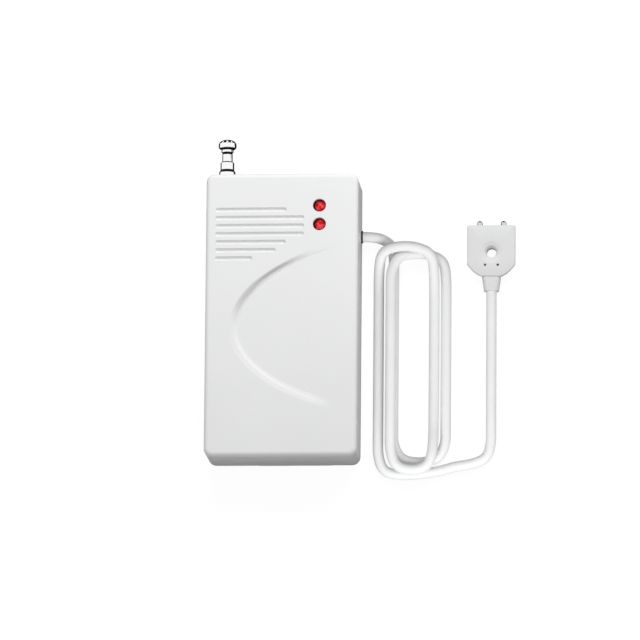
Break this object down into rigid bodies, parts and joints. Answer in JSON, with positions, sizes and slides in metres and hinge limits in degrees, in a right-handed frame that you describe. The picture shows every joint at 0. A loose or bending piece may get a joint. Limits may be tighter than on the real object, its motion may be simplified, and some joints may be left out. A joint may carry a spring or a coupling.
{
  "type": "wireless water level sensor",
  "caption": "Wall-hung wireless water sensor: flat white box with a telescopic antenna, two red lamps, a louvred face and a shield-shaped two-pin probe on a coiled cable.",
  "frame": {"origin": "centre of the flat back face, on which the box lies", "axes": "+Z out of the front face, +Y towards the antenna, +X towards the side that the cable leaves from"},
  "size_m": [0.1179, 0.1317, 0.023],
  "materials": {
    "white_housing": "satin white moulded ABS",
    "chrome_tube": "bright chrome plate",
    "red_lens": "clear red lamp resin",
    "white_cable": "soft white PVC",
    "white_probe": "white moulded PVC",
    "pin_steel": "bright nickel-plated steel",
    "screw_steel": "zinc-plated steel",
    "green_board": "green solder mask",
    "black_plastic": "black moulded plastic",
    "tin_plate": "tinned metal",
    "blue_sleeve": "shrink sleeve",
    "green_terminal": "moulded nylon",
    "ivory_nylon": "moulded nylon",
    "battery_sleeve": "plain printed steel case",
    "copper_wire": "enamelled copper",
    "brass_block": "machined brass",
    "red_wire": "red PVC",
    "black_wire": "black PVC"
  },
  "bodies": {
    "housing": {"front_cover": "white_housing", "rear_cover": "white_housing", "case_screws": "screw_steel", "board_screws": "screw_steel", "circuit_board": "green_board", "upper_lamp": "red_lens", "lower_lamp": "red_lens", "lamp_leads": "tin_plate", "sounder": "black_plastic", "radio_module": "green_board", "radio_can": "tin_plate", "controller_chip": "black_plastic", "chip_legs": "tin_plate", "large_capacitor": "blue_sleeve", "small_capacitor": "blue_sleeve", "jumper_block": "black_plastic", "jumper_pins": "tin_plate", "aerial_coil": "copper_wire", "probe_terminal": "green_terminal", "battery_socket": "ivory_nylon", "battery": "battery_sleeve", "battery_posts": "tin_plate", "battery_snap": "black_plastic", "battery_red_wire": "red_wire", "battery_black_wire": "black_wire", "antenna_bush": "chrome_tube", "antenna_foot": "brass_block", "antenna_outer_tube": "chrome_tube", "cable_inner_end": "white_cable", "lead_wires": "red_wire", "probe_cable_lead": "white_cable", "probe_cable_hank": "white_cable", "probe_cable_tail": "white_cable", "probe_body": "white_probe", "probe_strain_relief": "white_probe", "probe_pin_left": "pin_steel", "probe_pin_right": "pin_steel"},
    "door": {"battery_door": "white_housing"},
    "middle_section": {"antenna_middle_tube": "chrome_tube"},
    "inner_section": {"antenna_inner_tube": "chrome_tube"},
    "tip_section": {"antenna_tip": "chrome_tube"}
  },
  "joints": [
    {"name": "antenna_middle_slide", "type": "slide", "parent": "housing", "child": "middle_section", "axis": [0, 1, 0], "range_m": [0, 0.098]},
    {"name": "antenna_inner_slide", "type": "slide", "parent": "middle_section", "child": "inner_section", "axis": [0, 1, 0], "range_m": [0, 0.1]},
    {"name": "antenna_tip_slide", "type": "slide", "parent": "inner_section", "child": "tip_section", "axis": [0, 1, 0], "range_m": [0, 0.099]},
    {"name": "battery_door_slide", "type": "slide", "parent": "housing", "child": "door", "axis": [0, -1, 0], "range_m": [0, 0.0545]}
  ]
}
